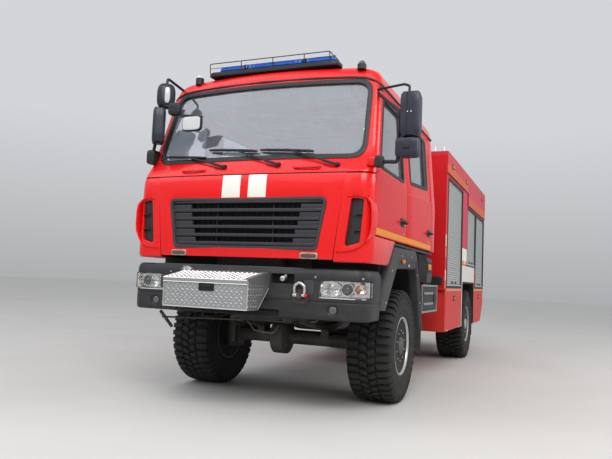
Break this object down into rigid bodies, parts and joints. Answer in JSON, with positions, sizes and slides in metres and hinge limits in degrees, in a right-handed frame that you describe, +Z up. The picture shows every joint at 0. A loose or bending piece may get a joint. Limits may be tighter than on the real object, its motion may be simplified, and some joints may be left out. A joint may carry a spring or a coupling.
{
  "type": "fire engine",
  "caption": "Crew cab four-wheel-drive fire engine with roller shutters, bumper tool box, roof monitor and opening doors.",
  "frame": {"origin": "on the ground under the middle of the overall length and width, left mirrors included", "axes": "+Y points to the rear, +X to the vehicle's left, +Z up; the front faces -Y"},
  "size_m": [2.917, 8.8719, 3.493],
  "materials": {
    "chassis_black": "semi-gloss black chassis paint, dusty",
    "cab_red": "glossy signal red cab paint",
    "body_red": "glossy signal red body paint",
    "black_plastic": "grained anthracite moulded plastic",
    "floor_grey": "matt grey floor paint and rubber mat",
    "clear_glass": "clear laminated glass",
    "tyre_rubber": "black off-road tyre rubber",
    "flap_rubber": "black sheet rubber",
    "rim_grey": "silver grey painted steel wheel",
    "shutter_aluminium": "anodised aluminium slats",
    "checker_plate": "bright aluminium tread plate",
    "seat_fabric": "dark grey woven seat cloth",
    "tank_plastic": "plain moulded tank",
    "shackle_steel": "galvanised steel with a red pin end",
    "ladder_yellow": "yellow painted tube",
    "beacon_blue": "blue translucent beacon plastic",
    "monitor_red": "red painted casting"
  },
  "bodies": {
    "chassis": {"battery_box": "chassis_black", "body_floor": "body_red", "body_roof": "body_red", "body_walls": "body_red", "cab_floor": "floor_grey", "cab_frame": "cab_red", "cab_mounts": "chassis_black", "cab_roof": "cab_red", "corner_panels": "cab_red", "dashboard": "black_plastic", "drive_shafts": "chassis_black", "engine_block": "chassis_black", "frame_rails": "chassis_black", "front_arches": "black_plastic", "front_axle": "chassis_black", "front_bumper": "black_plastic", "fuel_tank": "chassis_black", "ladders": "ladder_yellow", "lamps": "clear_glass", "leaf_springs": "chassis_black", "light_bar": "beacon_blue", "lower_lockers": "body_red", "mirrors": "black_plastic", "monitor_base": "monitor_red", "mud_flaps": "flap_rubber", "rear_axle": "chassis_black", "rear_bumper": "chassis_black", "roof_band": "body_red", "seats": "seat_fabric", "shutters": "shutter_aluminium", "tool_box": "checker_plate", "tow_shackle": "shackle_steel", "water_tank": "tank_plastic", "windscreen": "clear_glass", "wipers": "black_plastic"},
    "steer_left": {"knuckle_left": "chassis_black"},
    "steer_right": {"knuckle_right": "chassis_black"},
    "tie_rod": {"tie_rod": "chassis_black"},
    "wheel_front_left": {"tyre_front_left": "tyre_rubber", "rim_front_left": "rim_grey"},
    "wheel_front_right": {"tyre_front_right": "tyre_rubber", "rim_front_right": "rim_grey"},
    "wheel_rear_left": {"tyre_rear_left": "tyre_rubber", "rim_rear_left": "rim_grey"},
    "wheel_rear_right": {"tyre_rear_right": "tyre_rubber", "rim_rear_right": "rim_grey"},
    "door_front_left": {"door_front_left": "cab_red"},
    "door_front_right": {"door_front_right": "cab_red"},
    "door_crew_left": {"door_crew_left": "cab_red"},
    "door_crew_right": {"door_crew_right": "cab_red"},
    "front_panel": {"front_panel": "cab_red", "grille": "black_plastic"},
    "tool_box_lid": {"tool_box_lid": "checker_plate"},
    "flap_front_left": {"flap_front_left": "body_red"},
    "flap_front_right": {"flap_front_right": "body_red"},
    "flap_rear_left": {"flap_rear_left": "body_red"},
    "flap_rear_right": {"flap_rear_right": "body_red"},
    "monitor_turret": {"monitor_turret": "monitor_red"},
    "monitor_barrel": {"monitor_barrel": "monitor_red"}
  },
  "joints": [
    {"name": "steer_left", "type": "hinge", "parent": "chassis", "child": "steer_left", "pos_m": [0.5935, -2.662, 0.585], "axis": [0, 0, 1], "range_deg": [-30, 30]},
    {"name": "steer_right", "type": "hinge", "parent": "chassis", "child": "steer_right", "pos_m": [-0.9865, -2.662, 0.585], "axis": [0, 0, 1], "range_deg": [-30, 30]},
    {"name": "tie_rod_swivel", "type": "hinge", "parent": "steer_left", "child": "tie_rod", "pos_m": [0.5935, -2.392, 0.585], "axis": [0, 0, 1], "range_deg": [-30, 30]},
    {"name": "wheel_front_left_spin", "type": "hinge", "parent": "steer_left", "child": "wheel_front_left", "pos_m": [0.8285, -2.662, 0.585], "axis": [1, 0, 0], "continuous": true},
    {"name": "wheel_rear_left_spin", "type": "hinge", "parent": "chassis", "child": "wheel_rear_left", "pos_m": [0.8285, 2.018, 0.585], "axis": [1, 0, 0], "continuous": true},
    {"name": "door_front_left_swing", "type": "hinge", "parent": "chassis", "child": "door_front_left", "pos_m": [1.0535, -3.87, 2], "axis": [0, 0, -1], "range_deg": [0, 70]},
    {"name": "door_crew_left_swing", "type": "hinge", "parent": "chassis", "child": "door_crew_left", "pos_m": [1.0535, -2.6915, 2], "axis": [0, 0, -1], "range_deg": [0, 70]},
    {"name": "flap_front_left_fold", "type": "hinge", "parent": "chassis", "child": "flap_front_left", "pos_m": [1.0535, 0.506, 0.581], "axis": [0, 1, 0], "range_deg": [0, 90]},
    {"name": "flap_rear_left_fold", "type": "hinge", "parent": "chassis", "child": "flap_rear_left", "pos_m": [1.0535, 3.286, 0.555], "axis": [0, 1, 0], "range_deg": [0, 90]},
    {"name": "wheel_front_right_spin", "type": "hinge", "parent": "steer_right", "child": "wheel_front_right", "pos_m": [-1.2215, -2.662, 0.585], "axis": [1, 0, 0], "continuous": true},
    {"name": "wheel_rear_right_spin", "type": "hinge", "parent": "chassis", "child": "wheel_rear_right", "pos_m": [-1.2215, 2.018, 0.585], "axis": [1, 0, 0], "continuous": true},
    {"name": "door_front_right_swing", "type": "hinge", "parent": "chassis", "child": "door_front_right", "pos_m": [-1.4465, -3.87, 2], "axis": [0, 0, 1], "range_deg": [0, 70]},
    {"name": "door_crew_right_swing", "type": "hinge", "parent": "chassis", "child": "door_crew_right", "pos_m": [-1.4465, -2.6915, 2], "axis": [0, 0, 1], "range_deg": [0, 70]},
    {"name": "flap_front_right_fold", "type": "hinge", "parent": "chassis", "child": "flap_front_right", "pos_m": [-1.4465, 0.506, 0.581], "axis": [0, -1, 0], "range_deg": [0, 90]},
    {"name": "flap_rear_right_fold", "type": "hinge", "parent": "chassis", "child": "flap_rear_right", "pos_m": [-1.4465, 3.286, 0.555], "axis": [0, -1, 0], "range_deg": [0, 90]},
    {"name": "front_panel_lift", "type": "hinge", "parent": "chassis", "child": "front_panel", "pos_m": [-0.1965, -4.014, 2.205], "axis": [-1, 0, 0], "range_deg": [0, 80]},
    {"name": "tool_box_lid_lift", "type": "hinge", "parent": "chassis", "child": "tool_box_lid", "pos_m": [-0.1965, -4.019, 1.2893], "axis": [-1, 0, 0], "range_deg": [0, 75]},
    {"name": "monitor_pan", "type": "hinge", "parent": "chassis", "child": "monitor_turret", "pos_m": [-0.1965, 0.336, 3.25], "axis": [0, 0, 1], "range_deg": [-170, 170]},
    {"name": "monitor_tilt", "type": "hinge", "parent": "monitor_turret", "child": "monitor_barrel", "pos_m": [-0.1965, 0.336, 3.35], "axis": [-1, 0, 0], "range_deg": [-8, 70]}
  ],
  "couplings": [
    {"joint": "steer_right", "follows": "steer_left", "ratio": 1},
    {"joint": "tie_rod_swivel", "follows": "steer_left", "ratio": -1}
  ]
}
